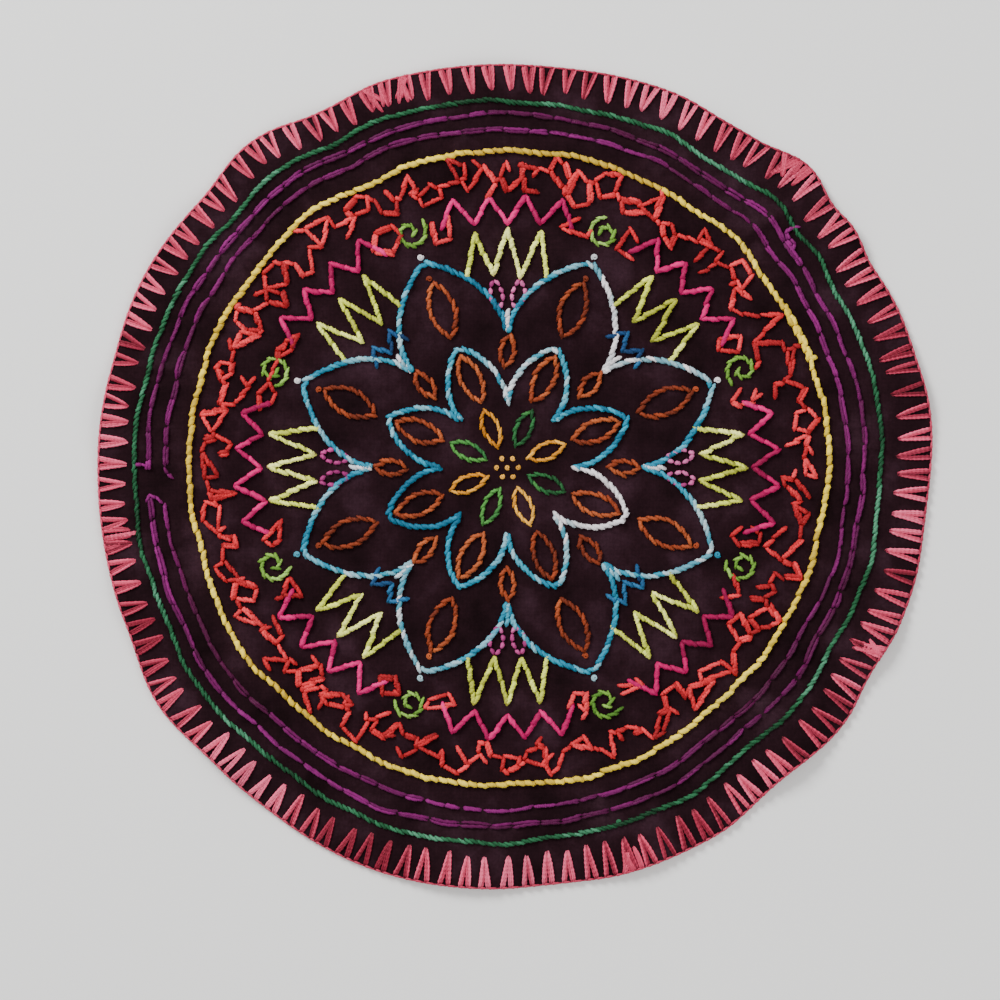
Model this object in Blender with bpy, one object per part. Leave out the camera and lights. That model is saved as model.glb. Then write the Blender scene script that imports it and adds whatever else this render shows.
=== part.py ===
"""Round embroidered cloth rug, lying on a flat surface with its rim rippled a little off it.

The rug is one disc of dark cotton cloth. A thick thread is worked round its rim in closed blanket stitch:
a band of thread along the cut edge, from which pairs of long stitches lean together over the cloth.
Inside the edging run four stitched border rings, and a stitched flower outline marks the middle field.

Metres, +Z up. The origin is the middle of the rug's bounding box, on the surface that it lies on.
"""

import math
import random
from collections import namedtuple

import bmesh
import bpy
from mathutils import Vector
from mathutils.geometry import delaunay_2d_cdt

MM = 0.001

# Driving sizes
EDGE_RADIUS = 149.8 * MM
CLOTH_THICKNESS = 1.6 * MM
THREAD_DIAMETER = 1.4 * MM
SEAM_GAP = 0.3 * MM

# Edging
PAIR_COUNT = 123
PAIR_PITCH = 360.0 / PAIR_COUNT
BAND_WIDTH = 1.1 * MM
STITCH_WIDTH = 1.5 * MM
STITCH_HEIGHT = 1.0 * MM
TIP_WIDTH = 1.1 * MM
TIP_SHARE_OF_ROOM = 0.7
TIP_VARIATION = 0.8 * MM
EDGING_SEED = 7

# How far one pair of stitches may differ from the next, as shares of the pitch
BEARING_VARIATION = 0.10
LEAN_VARIATION = 0.14
SPREAD_LEAST = 0.16
SPREAD_MOST = 0.25

# Cloth surface rows, as spacings of the points that carry its ripples
RIM_POINTS = 2 * PAIR_COUNT
SECOND_ROW_DEPTH = 8.0 * MM
SECOND_ROW_POINTS = 164
RING_POINTS = 100
FIELD_SPACING = 9.0 * MM
CLEAR_OF_FLOWER = 4.0 * MM
SAME_POINT = 0.0001 * MM
SHARPEST_SMOOTH_BEND = 40.0

# The triangulation's choice of output: the triangles inside the loops, without the outer hull
FILL_INSIDE = 1

# Flower outline of the middle field
PETAL_COUNT = 8
PETAL_POINTS = 18
PETAL_TIP_RADIUS = 80.0 * MM
PETAL_NOTCH_RADIUS = 48.0 * MM
PETAL_FULLNESS = 0.62

Bulge = namedtuple("Bulge", "bearing half_width height")
Ripple = namedtuple("Ripple", "bearing half_width height depth")
Pucker = namedtuple("Pucker", "x y radius height")
Ring = namedtuple("Ring", "name slot radius x y follow")
Pair = namedtuple("Pair", "bearing spread depth lean")

# How the hand-cut rim departs from a circle. Bearings in degrees, anticlockwise from +X.
BULGES = (
    Bulge(9, 16, 2.6 * MM),
    Bulge(23, 9, 1.6 * MM),
    Bulge(36, 6, 1.8 * MM),
    Bulge(46, 8, 4.6 * MM),
    Bulge(59, 8, -1.3 * MM),
    Bulge(88, 26, -2.2 * MM),
    Bulge(117, 9, -1.8 * MM),
    Bulge(129, 10, 3.0 * MM),
    Bulge(152, 14, 1.4 * MM),
    Bulge(213, 12, 3.0 * MM),
    Bulge(250, 20, 1.6 * MM),
    Bulge(276, 10, -1.0 * MM),
    Bulge(311, 12, -3.1 * MM),
    Bulge(331, 8, -1.9 * MM),
    Bulge(345, 8, 0.6 * MM),
)

# Ripples that lift the rim off the floor, highest at the rim and gone at their depth inwards.
RIPPLES = (
    Ripple(12, 10, 1.8 * MM, 30 * MM),
    Ripple(37, 9, 3.0 * MM, 38 * MM),
    Ripple(58, 9, 2.6 * MM, 34 * MM),
    Ripple(93, 12, 3.2 * MM, 42 * MM),
    Ripple(120, 8, 1.8 * MM, 28 * MM),
    Ripple(143, 9, 2.4 * MM, 32 * MM),
    Ripple(172, 11, 2.9 * MM, 36 * MM),
    Ripple(199, 9, 1.9 * MM, 30 * MM),
    Ripple(226, 9, 3.1 * MM, 40 * MM),
    Ripple(262, 12, 2.3 * MM, 34 * MM),
    Ripple(289, 9, 1.6 * MM, 28 * MM),
    Ripple(314, 9, 3.4 * MM, 42 * MM),
    Ripple(335, 9, 2.5 * MM, 32 * MM),
)

# Low mounds where the embroidery's pull puckers the middle field. The field's centre stays on the floor.
PUCKERS = (
    Pucker(-46 * MM, 50 * MM, 30 * MM, 1.2 * MM),
    Pucker(14 * MM, 66 * MM, 28 * MM, 1.0 * MM),
    Pucker(62 * MM, 22 * MM, 30 * MM, 1.1 * MM),
    Pucker(-66 * MM, -12 * MM, 28 * MM, 1.3 * MM),
    Pucker(-30 * MM, -58 * MM, 32 * MM, 1.0 * MM),
    Pucker(44 * MM, -48 * MM, 30 * MM, 1.2 * MM),
    Pucker(6 * MM, -92 * MM, 26 * MM, 0.9 * MM),
    Pucker(-96 * MM, 34 * MM, 24 * MM, 0.8 * MM),
)

# Border rings, outermost first. Each was drawn a little off centre, and follows a share of the rim's bulges.
RINGS = (
    Ring("ring_green", "thread_green", 134.2 * MM, -2.0 * MM, 1.4 * MM, 0.7),
    Ring("ring_purple_outer", "thread_purple", 128.7 * MM, -2.7 * MM, 1.8 * MM, 0.5),
    Ring("ring_purple_inner", "thread_purple", 122.9 * MM, -2.6 * MM, 2.2 * MM, 0.4),
    Ring("ring_yellow", "thread_yellow", 114.8 * MM, -1.9 * MM, 2.4 * MM, 0.4),
)
GREEN_RING, YELLOW_RING = RINGS[0], RINGS[-1]

# Colour and roughness of each finish
FINISHES = {
    "ground_cloth": ((0.020, 0.011, 0.014), 0.90),
    "edging_pink": ((0.680, 0.130, 0.190), 0.75),
    "thread_green": ((0.020, 0.180, 0.080), 0.75),
    "thread_purple": ((0.260, 0.020, 0.240), 0.75),
    "thread_yellow": ((0.640, 0.480, 0.060), 0.75),
    "thread_turquoise": ((0.060, 0.420, 0.550), 0.75),
}


def clear_scene():
    for obj in list(bpy.data.objects):
        bpy.data.objects.remove(obj, do_unlink=True)


def thread_material(slot):
    """A plain finish for one slot: the colour and roughness that the table gives."""
    colour, roughness = FINISHES[slot]
    material = bpy.data.materials.new(slot)
    material.use_nodes = True
    shader = material.node_tree.nodes["Principled BSDF"]
    shader.inputs["Base Color"].default_value = (*colour, 1.0)
    shader.inputs["Roughness"].default_value = roughness
    shader.inputs["Metallic"].default_value = 0.0
    return material


def hump(distance, half_width):
    """A smooth hill of height 1 that ends flat at half_width."""
    if abs(distance) >= half_width:
        return 0.0
    return 0.5 * (1.0 + math.cos(math.pi * distance / half_width))


def turn_between(bearing, other):
    """The turn from one bearing to another, between -180 and 180 degrees."""
    return (bearing - other + 180.0) % 360.0 - 180.0


def edge_radius(bearing):
    """Radius of the rug's outline about the hoop centre, at a bearing in degrees."""
    return EDGE_RADIUS + sum(
        b.height * hump(turn_between(bearing, b.bearing), b.half_width) for b in BULGES
    )


def polar(radius, bearing):
    """The point at this radius and this bearing in degrees."""
    angle = math.radians(bearing)
    return Vector((radius * math.cos(angle), radius * math.sin(angle)))


def outline_middle():
    """Middle of the outline's bounding box, seen from the hoop centre."""
    outline = [polar(edge_radius(step), step) for step in range(360)]
    xs = [point.x for point in outline]
    ys = [point.y for point in outline]
    return Vector((0.5 * (min(xs) + max(xs)), 0.5 * (min(ys) + max(ys))))


HOOP_CENTRE = -outline_middle()


def rim_point(bearing, inward):
    """The plan point that lies this far inside the outline, at a bearing from the hoop centre."""
    return HOOP_CENTRE + polar(edge_radius(bearing) - inward, bearing)


def lift(point):
    """Height of the cloth's underside above the floor at a plan point."""
    from_hoop = Vector(point[:2]) - HOOP_CENTRE
    bearing = math.degrees(math.atan2(from_hoop.y, from_hoop.x))
    inward = edge_radius(bearing) - from_hoop.length
    height = 0.0
    for ripple in RIPPLES:
        nearness = min(1.0, max(0.0, 1.0 - inward / ripple.depth))
        rise = nearness * nearness * (3.0 - 2.0 * nearness)
        height += ripple.height * rise * hump(turn_between(bearing, ripple.bearing), ripple.half_width)
    for pucker in PUCKERS:
        away = math.hypot(point[0] - pucker.x, point[1] - pucker.y)
        height += pucker.height * hump(away, pucker.radius)
    return height


def on_cloth(point, above=0.0):
    """The plan point raised to the cloth's top face, and a distance above it."""
    return Vector((point[0], point[1], lift(point) + CLOTH_THICKNESS + above))


def ring_radius(ring, bearing):
    """Radius of a border ring about the hoop centre, at a bearing in degrees."""
    off_centre = Vector((ring.x, ring.y)).dot(polar(1.0, bearing))
    return ring.radius + off_centre + ring.follow * (edge_radius(bearing) - EDGE_RADIUS)


def ring_path(ring):
    """Plan points of a border ring."""
    bearings = [i * 360.0 / RING_POINTS for i in range(RING_POINTS)]
    return [HOOP_CENTRE + polar(ring_radius(ring, bearing), bearing) for bearing in bearings]


def field_centre():
    """Middle of the field inside the yellow ring."""
    return HOOP_CENTRE + Vector((YELLOW_RING.x, YELLOW_RING.y))


def flower_path():
    """Plan points of the flower outline: pointed petals round the middle of the field."""
    centre = field_centre()
    path = []
    for i in range(PETAL_COUNT * PETAL_POINTS):
        along = (i % PETAL_POINTS) / PETAL_POINTS
        swell = (1.0 - abs(2.0 * along - 1.0)) ** PETAL_FULLNESS
        radius = PETAL_NOTCH_RADIUS + (PETAL_TIP_RADIUS - PETAL_NOTCH_RADIUS) * swell
        path.append(centre + polar(radius, i * 360.0 / (PETAL_COUNT * PETAL_POINTS)))
    return path


def cloth_points():
    """Plan points of the cloth and the loops of edges that they must keep."""
    edge = [rim_point(i * 360.0 / RIM_POINTS, BAND_WIDTH + SEAM_GAP) for i in range(RIM_POINTS)]
    second = [
        rim_point(i * 360.0 / SECOND_ROW_POINTS, SECOND_ROW_DEPTH) for i in range(SECOND_ROW_POINTS)
    ]
    loops = [edge, second, *(ring_path(ring) for ring in RINGS), flower_path()]
    points, edges = [], []
    for loop in loops:
        first = len(points)
        points.extend(loop)
        edges.extend((first + i, first + (i + 1) % len(loop)) for i in range(len(loop)))
    centre, flower = field_centre(), loops[-1]
    points.append(centre)
    for row in range(1, int(YELLOW_RING.radius / FIELD_SPACING)):
        count = round(2.0 * math.pi * row)
        for i in range(count):
            point = centre + polar(row * FIELD_SPACING, i * 360.0 / count)
            if min((point - petal).length for petal in flower) > CLEAR_OF_FLOWER:
                points.append(point)
    return points, edges


def add_object(name, data, slot, collection):
    """A named object with its finish, in the rug's collection."""
    data.materials.append(bpy.data.materials[slot])
    obj = bpy.data.objects.new(name, data)
    collection.objects.link(obj)
    return obj


def raise_faces(bm, faces, height):
    """Gives faces a thickness straight up, or straight down where the height is negative."""
    grown = bmesh.ops.extrude_face_region(bm, geom=faces)["geom"]
    moved = [part for part in grown if isinstance(part, bmesh.types.BMVert)]
    bmesh.ops.translate(bm, vec=(0.0, 0.0, height), verts=moved)


def finish_mesh(bm, name):
    """Turns the faces outwards and gives the mesh, shaded smooth where it bends gently."""
    bmesh.ops.recalc_face_normals(bm, faces=bm.faces)
    mesh = bpy.data.meshes.new(name)
    bm.to_mesh(mesh)
    bm.free()
    mesh.shade_smooth()
    mesh.set_sharp_from_angle(angle=math.radians(SHARPEST_SMOOTH_BEND))
    return mesh


def make_cloth(collection):
    """The disc of cloth: its underside follows the ripples, and it is raised to its thickness."""
    points, edges = cloth_points()
    found, _, triangles, *_ = delaunay_2d_cdt(points, edges, [], FILL_INSIDE, SAME_POINT)
    bm = bmesh.new()
    verts = [bm.verts.new((point.x, point.y, lift(point))) for point in found]
    faces = [bm.faces.new([verts[i] for i in triangle]) for triangle in triangles]
    raise_faces(bm, faces, CLOTH_THICKNESS)
    return add_object("ground_cloth", finish_mesh(bm, "ground_cloth"), "ground_cloth", collection)


def stitch_pairs():
    """Where each pair of the edging stands. It reaches a share of the way to the green ring."""
    rng = random.Random(EDGING_SEED)
    pairs = []
    for i in range(PAIR_COUNT):
        bearing = (i + rng.uniform(-BEARING_VARIATION, BEARING_VARIATION)) * PAIR_PITCH
        spread = rng.uniform(SPREAD_LEAST, SPREAD_MOST) * PAIR_PITCH
        lean = rng.uniform(-LEAN_VARIATION, LEAN_VARIATION) * PAIR_PITCH
        room = edge_radius(bearing) - ring_radius(GREEN_RING, bearing)
        depth = TIP_SHARE_OF_ROOM * room + rng.uniform(-TIP_VARIATION, TIP_VARIATION)
        pairs.append(Pair(bearing, spread, depth, lean))
    return pairs


def degrees_across(width, radius):
    return math.degrees(width / radius)


def make_edging(collection):
    """The closed blanket stitch: a band round the cut edge, and pairs of stitches that meet over the cloth."""
    bm = bmesh.new()
    above = SEAM_GAP

    def corner(bearing, inward):
        return bm.verts.new(on_cloth(rim_point(bearing, inward), above))

    half_stitch = degrees_across(0.5 * STITCH_WIDTH, EDGE_RADIUS)
    stations = []
    stitch_faces = []
    for i, pair in enumerate(stitch_pairs()):
        half_tip = degrees_across(0.5 * TIP_WIDTH, EDGE_RADIUS - pair.depth)
        roots = [
            pair.bearing - pair.spread - half_stitch,
            pair.bearing - pair.spread + half_stitch,
            pair.bearing + pair.spread - half_stitch,
            pair.bearing + pair.spread + half_stitch,
        ]
        seam = (i - 0.5) * PAIR_PITCH
        columns = [(corner(bearing, 0.0), corner(bearing, BAND_WIDTH)) for bearing in (seam, *roots)]
        stations.extend(columns)
        inner = [column[1] for column in columns[1:]]
        meeting = BAND_WIDTH + (pair.depth - BAND_WIDTH) * (1.0 - half_stitch / pair.spread)
        crotch = corner(pair.bearing + pair.lean * meeting / pair.depth, meeting)
        tip_left = corner(pair.bearing + pair.lean - half_tip, pair.depth)
        tip_right = corner(pair.bearing + pair.lean + half_tip, pair.depth)
        stitch_faces.append(bm.faces.new((inner[0], inner[1], crotch, tip_left)))
        stitch_faces.append(bm.faces.new((inner[2], inner[3], tip_right, crotch)))
        stitch_faces.append(bm.faces.new((crotch, tip_right, tip_left)))
    band_faces = []
    for (outer, inner), (next_outer, next_inner) in zip(stations, stations[1:] + stations[:1]):
        band_faces.append(bm.faces.new((outer, next_outer, next_inner, inner)))
    raise_faces(bm, band_faces + stitch_faces, STITCH_HEIGHT)
    raise_faces(bm, band_faces, -(CLOTH_THICKNESS + above))
    bmesh.ops.delete(bm, geom=band_faces, context="FACES_ONLY")
    return add_object("edging", finish_mesh(bm, "edging"), "edging_pink", collection)


def make_cord(name, path, slot, collection):
    """A closed line of stitches on the cloth, as a cord along plan points."""
    curve = bpy.data.curves.new(name, "CURVE")
    curve.dimensions = "3D"
    curve.bevel_depth = 0.5 * THREAD_DIAMETER
    curve.bevel_resolution = 0
    line = curve.splines.new("POLY")
    line.points.add(len(path) - 1)
    for place, point in zip(line.points, path):
        place.co = (*on_cloth(point, SEAM_GAP + 0.5 * THREAD_DIAMETER), 1.0)
    line.use_cyclic_u = True
    return add_object(name, curve, slot, collection)


def main():
    clear_scene()
    collection = bpy.data.collections.new("embroidered_rug")
    bpy.context.scene.collection.children.link(collection)
    for slot in FINISHES:
        thread_material(slot)
    make_cloth(collection)
    make_edging(collection)
    for ring in RINGS:
        make_cord(ring.name, ring_path(ring), ring.slot, collection)
    make_cord("flower_outline", flower_path(), "thread_turquoise", collection)


main()
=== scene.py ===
# %% [markdown]
# # A round embroidered rug
#
# This lesson dresses a plain model of a small round rug: one disc of dark cotton, a thick pink thread worked
# round its edge, four stitched border rings, and a field of stitched flowers, leaves and zigzags.
#
# The plain solids are loaded first. They fix every size, and all that follows is laid on them.

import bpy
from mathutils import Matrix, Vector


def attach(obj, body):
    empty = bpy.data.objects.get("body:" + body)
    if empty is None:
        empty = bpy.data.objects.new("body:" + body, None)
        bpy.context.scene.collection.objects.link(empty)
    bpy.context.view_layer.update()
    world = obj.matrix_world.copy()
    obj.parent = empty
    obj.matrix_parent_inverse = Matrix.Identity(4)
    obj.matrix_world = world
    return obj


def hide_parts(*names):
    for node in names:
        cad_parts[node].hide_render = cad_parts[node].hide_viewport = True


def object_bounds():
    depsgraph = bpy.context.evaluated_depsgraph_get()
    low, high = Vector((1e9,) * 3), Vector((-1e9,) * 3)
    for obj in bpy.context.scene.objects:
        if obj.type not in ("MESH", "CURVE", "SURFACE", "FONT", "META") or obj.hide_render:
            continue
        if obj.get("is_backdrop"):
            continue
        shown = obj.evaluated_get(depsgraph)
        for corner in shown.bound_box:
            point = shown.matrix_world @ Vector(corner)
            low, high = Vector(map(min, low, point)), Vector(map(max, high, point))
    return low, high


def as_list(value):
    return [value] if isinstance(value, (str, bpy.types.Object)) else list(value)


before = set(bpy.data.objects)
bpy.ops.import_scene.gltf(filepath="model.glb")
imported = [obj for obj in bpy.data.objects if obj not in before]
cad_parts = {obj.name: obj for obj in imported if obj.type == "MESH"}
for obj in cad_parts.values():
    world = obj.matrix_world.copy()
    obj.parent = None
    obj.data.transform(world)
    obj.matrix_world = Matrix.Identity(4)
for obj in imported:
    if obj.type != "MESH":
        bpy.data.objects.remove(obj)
solid_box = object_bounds()
print("solids:", sorted(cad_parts))

# %% The tools of the lesson
import math
import random
from collections import namedtuple

import bpy
import numpy as np
from mathutils import Vector
from mathutils.geometry import delaunay_2d_cdt

MM = 0.001
FULL_TURN = 2.0 * math.pi
scene = bpy.context.scene

# %% [markdown]
# ## A short way to write nodes
#
# Materials and Geometry Nodes are both trees of nodes. `Nodes` adds one node, sets its options and feeds its
# inputs in order: a socket is linked, a plain value is set, and None leaves an input as it is. It gives back
# the node's first output, so that calls can be nested like a sum.

# %% Node helpers
def dyed(code):
    """A dye's colour, from the six-figure code that a colour picker shows, as linear light."""
    parts = [int(code[i : i + 2], 16) / 255.0 for i in (0, 2, 4)]
    return (*[p / 12.92 if p <= 0.04045 else ((p + 0.055) / 1.055) ** 2.4 for p in parts], 1.0)


def feed(socket, source):
    """Links an input to another node, or sets it to a plain value."""
    if isinstance(source, bpy.types.NodeSocket):
        socket.id_data.links.new(source, socket)
    elif source is not None:
        socket.default_value = source


def fill(made, **sources):
    """Feeds a node's inputs by name, with _ for a space."""
    for label, source in sources.items():
        feed(made.inputs[label.replace("_", " ")], source)
    return made


class Nodes:
    """Short ways to add nodes to one tree."""

    def __init__(self, tree):
        self.new = tree.nodes.new

    def add(self, kind, *sources, **options):
        made = self.new(kind)
        for option, value in options.items():
            setattr(made, option, value)
        sockets = [socket for socket in made.inputs if not socket.is_unavailable]
        for socket, source in zip(sockets, sources):
            feed(socket, source)
        return next(socket for socket in made.outputs if not socket.is_unavailable)

    def geo(self, kind, *sources, **options):
        return self.add("GeometryNode" + kind, *sources, **options)

    def calc(self, operation, *sources):
        return self.add("ShaderNodeMath", *sources, operation=operation)

    def vector(self, operation, *sources):
        return self.add("ShaderNodeVectorMath", *sources, operation=operation)

    def xyz(self, *sources):
        return self.add("ShaderNodeCombineXYZ", *sources)

    def parts(self, vector):
        """The three numbers of a vector."""
        return fill(self.new("ShaderNodeSeparateXYZ"), Vector=vector).outputs

    def fact(self, name, output="Fac"):
        """A fact that the mesh carries at each point, for a material."""
        made = self.new("ShaderNodeAttribute")
        made.attribute_name = name
        return made.outputs[output]

    def ramp(self, factor, stops):
        """A row of colours, each with the place where it is reached."""
        made = fill(self.new("ShaderNodeValToRGB"), Fac=factor)
        first, last = made.color_ramp.elements
        first.position, first.color = stops[0][0], dyed(stops[0][1])
        last.position, last.color = stops[-1][0], dyed(stops[-1][1])
        for position, code in stops[1:-1]:
            made.color_ramp.elements.new(position).color = dyed(code)
        return made.outputs["Color"]

    def bumped(self, height, strength, distance):
        """The surface's direction, with fine relief in it."""
        made = self.new("ShaderNodeBump")
        return fill(made, Strength=strength, Distance=distance, Height=height).outputs["Normal"]


def new_finish(name, **looks):
    """A new material, its nodes and its shader."""
    material = bpy.data.materials.new(name)
    material.use_nodes = True
    tree = material.node_tree
    return material, Nodes(tree), fill(tree.nodes["Principled BSDF"], **looks)


def placed(name, data):
    """A new object with this data, at the origin of the scene."""
    made = bpy.data.objects.new(name, data)
    scene.collection.objects.link(made)
    return made


# %% [markdown]
# ## The shape of the rug
#
# A hand-cut disc is never round, and embroidery pulls its cloth into ripples. Both are written as a few
# smooth hills in short tables: bulges of the outline by bearing, ripples that lift the rim, and low mounds in
# the field. The solids were made from the same tables, so cloth that is made from them fits the solids.

# %% Outline, ripples and rings
EDGE_RADIUS = 149.8 * MM
CLOTH_TOP = 1.6 * MM

Bulge = namedtuple("Bulge", "bearing half_width height")
Ripple = namedtuple("Ripple", "bearing half_width height depth")
Pucker = namedtuple("Pucker", "x y radius height")
Ring = namedtuple("Ring", "radius x y follow")

BULGES = [
    Bulge(bearing, width, height * MM)
    for bearing, width, height in (
        (9, 16, 2.6), (23, 9, 1.6), (36, 6, 1.8), (46, 8, 4.6), (59, 8, -1.3), (88, 26, -2.2),
        (117, 9, -1.8), (129, 10, 3.0), (152, 14, 1.4), (213, 12, 3.0), (250, 20, 1.6),
        (276, 10, -1.0), (311, 12, -3.1), (331, 8, -1.9), (345, 8, 0.6),
    )
]
RIPPLES = [
    Ripple(bearing, width, height * MM, depth * MM)
    for bearing, width, height, depth in (
        (12, 10, 1.8, 30), (37, 9, 3.0, 38), (58, 9, 2.6, 34), (93, 12, 3.2, 42), (120, 8, 1.8, 28),
        (143, 9, 2.4, 32), (172, 11, 2.9, 36), (199, 9, 1.9, 30), (226, 9, 3.1, 40),
        (262, 12, 2.3, 34), (289, 9, 1.6, 28), (314, 9, 3.4, 42), (335, 9, 2.5, 32),
    )
]
PUCKERS = [
    Pucker(*(number * MM for number in row))
    for row in (
        (-46, 50, 30, 1.2), (14, 66, 28, 1.0), (62, 22, 30, 1.1), (-66, -12, 28, 1.3),
        (-30, -58, 32, 1.0), (44, -48, 30, 1.2), (6, -92, 26, 0.9), (-96, 34, 24, 0.8),
    )
]

GREEN = Ring(134.2 * MM, -2.0 * MM, 1.4 * MM, 0.7)
PURPLE_OUTER = Ring(128.7 * MM, -2.7 * MM, 1.8 * MM, 0.5)
PURPLE_INNER = Ring(122.9 * MM, -2.6 * MM, 2.2 * MM, 0.4)
YELLOW = Ring(114.8 * MM, -1.9 * MM, 2.4 * MM, 0.4)


def hump(distance, half_width):
    """A smooth hill of height 1 that ends flat at half_width."""
    hill = 0.5 * (1.0 + np.cos(np.pi * distance / half_width))
    return np.where(np.abs(distance) < half_width, hill, 0.0)


def turn_between(bearing, other):
    """The turn between two bearings, from -180 to 180 degrees."""
    return (bearing - other + 180.0) % 360.0 - 180.0


def edge_radius(bearing):
    """Radius of the outline about the hoop centre."""
    bearing = np.asarray(bearing, float)
    return EDGE_RADIUS + sum(
        b.height * hump(turn_between(bearing, b.bearing), b.half_width) for b in BULGES
    )


def polar(radius, bearing):
    """Plan points at these radii and bearings, from the origin."""
    angle = np.radians(bearing)
    return np.stack([radius * np.cos(angle), radius * np.sin(angle)], axis=-1)


outline = polar(edge_radius(np.arange(360.0)), np.arange(360.0))
HOOP_CENTRE = -0.5 * (outline.min(axis=0) + outline.max(axis=0))


def rim_point(bearing, inward):
    """The plan point this far inside the outline."""
    return HOOP_CENTRE + polar(edge_radius(bearing) - inward, bearing)


def ring_radius(ring, bearing):
    """Radius of a border ring about the hoop centre. It follows a share of the outline's bulges."""
    off_centre = np.array((ring.x, ring.y)) @ polar(1.0, bearing).T
    return ring.radius + off_centre + ring.follow * (edge_radius(bearing) - EDGE_RADIUS)


def from_edge(points):
    """Bearings of plan points about the hoop centre, and how far they lie inside the outline."""
    away = points - HOOP_CENTRE
    bearing = np.degrees(np.arctan2(away[:, 1], away[:, 0]))
    return bearing, edge_radius(bearing) - np.linalg.norm(away, axis=1)


def lift(points):
    """Height of the solid's underside above the floor, at plan points."""
    bearing, inward = from_edge(points)
    height = np.zeros(len(points))
    for r in RIPPLES:
        nearness = np.clip(1.0 - inward / r.depth, 0.0, 1.0)
        rise = nearness**2 * (3.0 - 2.0 * nearness)
        height += r.height * rise * hump(turn_between(bearing, r.bearing), r.half_width)
    for p in PUCKERS:
        height += p.height * hump(np.hypot(points[:, 0] - p.x, points[:, 1] - p.y), p.radius)
    return height


print("hoop centre, mm:", np.round(HOOP_CENTRE / MM, 2))

# %% [markdown]
# ## Creases
#
# Stitches pull harder than the cloth resists, so fine creases run in from the edging and between the rings.
# They are too fine for the solids. Each is listed here: where it starts, where it ends, how wide and
# how high it is. Seeded waves add the faint cockle of washed cotton.

# %% Creases and cockle
Crease = namedtuple("Crease", "bearing outer inner lean half_width height")
CREASES = [
    Crease(*row)
    for row in (
        (4, 137, 118, 1, 2.6, 0.55), (19, 140, 112, -3, 3.4, 0.70), (31, 138, 124, 2, 2.2, 0.45),
        (44, 142, 106, 3, 4.0, 0.90), (53, 139, 121, -2, 2.4, 0.60), (66, 137, 110, 2, 3.0, 0.55),
        (80, 138, 119, -1, 2.4, 0.45), (97, 138, 104, 4, 3.6, 0.80), (111, 139, 120, -2, 2.6, 0.60),
        (126, 141, 108, 2, 3.4, 0.75), (139, 138, 122, -3, 2.2, 0.50), (151, 140, 100, 3, 3.8, 0.85),
        (164, 139, 118, -2, 2.6, 0.60), (178, 138, 112, 1, 3.0, 0.55), (193, 139, 106, -4, 3.4, 0.70),
        (208, 141, 120, 2, 2.6, 0.55), (221, 142, 102, 3, 3.8, 0.80), (236, 138, 119, -2, 2.4, 0.50),
        (252, 137, 110, 2, 3.0, 0.55), (268, 136, 118, -1, 2.4, 0.45), (284, 137, 107, 3, 3.2, 0.65),
        (302, 135, 120, -3, 2.6, 0.60), (313, 134, 98, 4, 4.2, 0.95), (327, 136, 116, -2, 2.8, 0.60),
        (342, 137, 108, 2, 3.2, 0.65), (352, 138, 121, -1, 2.2, 0.40), (28, 96, 52, 9, 5.0, 0.60),
        (74, 92, 44, -8, 5.5, 0.70), (118, 98, 56, 7, 5.0, 0.55), (168, 90, 38, -6, 6.0, 0.75),
        (214, 96, 50, 8, 5.5, 0.60), (259, 94, 46, -9, 5.0, 0.65), (306, 92, 40, 7, 6.0, 0.70),
    )
]
CREASE_SCALE = 1.5
COCKLE_WAVES = 14
COCKLE_HEIGHT = 0.12 * MM
COCKLE_SHORTEST, COCKLE_LONGEST = 9.0 * MM, 24.0 * MM

cockle = np.random.default_rng(3)
cockle_lengths = cockle.uniform(COCKLE_SHORTEST, COCKLE_LONGEST, COCKLE_WAVES)
cockle_bearings = cockle.uniform(0.0, 360.0, COCKLE_WAVES)
cockle_starts = cockle.uniform(0.0, FULL_TURN, COCKLE_WAVES)


def crease_height(points):
    """Height that creases and cockle add to the cloth."""
    height = np.zeros(len(points))
    for c in CREASES:
        start = HOOP_CENTRE + polar(c.outer * MM, c.bearing)
        end = HOOP_CENTRE + polar(c.inner * MM, c.bearing + c.lean)
        along = (points - start) @ (end - start) / ((end - start) @ (end - start))
        nearest = start + np.clip(along, 0.0, 1.0)[:, None] * (end - start)
        away = np.linalg.norm(points - nearest, axis=1)
        fade = hump(along - 0.5, 0.75)
        height += CREASE_SCALE * c.height * MM * hump(away, c.half_width * MM) * fade
    for length, bearing, begin in zip(cockle_lengths, cockle_bearings, cockle_starts):
        wave = np.sin(points @ polar(1.0, bearing) * FULL_TURN / length + begin)
        height += 0.5 * COCKLE_HEIGHT * (1.0 + wave) / math.sqrt(COCKLE_WAVES)
    return height


def cloth_top(points):
    """Height of the cloth's face above the floor, at plan points."""
    return lift(points) + CLOTH_TOP + crease_height(points)


print("creases:", len(CREASES), "highest, mm:", max(c.height for c in CREASES))

# %% [markdown]
# ## The camera, the floor and the light
#
# The rug is seen from straight above, so the camera looks down and its top edge is +Y. A long lens keeps the
# rug free of distortion. The picture takes in 361 mm, and the camera stands a little left of the rug's middle
# and below it.

# %% Camera, floor and light
CAMERA_HEIGHT = 1.20
SEEN_ACROSS = 361.0 * MM
SENSOR_WIDTH = 36.0
CAMERA_X, CAMERA_Y = -5.4 * MM, -8.3 * MM
FLOOR_HALF = 4.0
FLOOR_COLOUR = (0.93, 0.93, 0.92, 1.0)
FLOOR_ROUGHNESS = 0.85
SKY_COLOUR = (1.0, 0.99, 0.98, 1.0)
SKY_STRENGTH = 0.6
LAMPS = (
    ("window_light", (-1.0, 1.1, 1.15), 0.7, 44.0),
    ("fill_light", (1.1, -0.5, 1.2), 1.2, 13.0),
)

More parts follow.
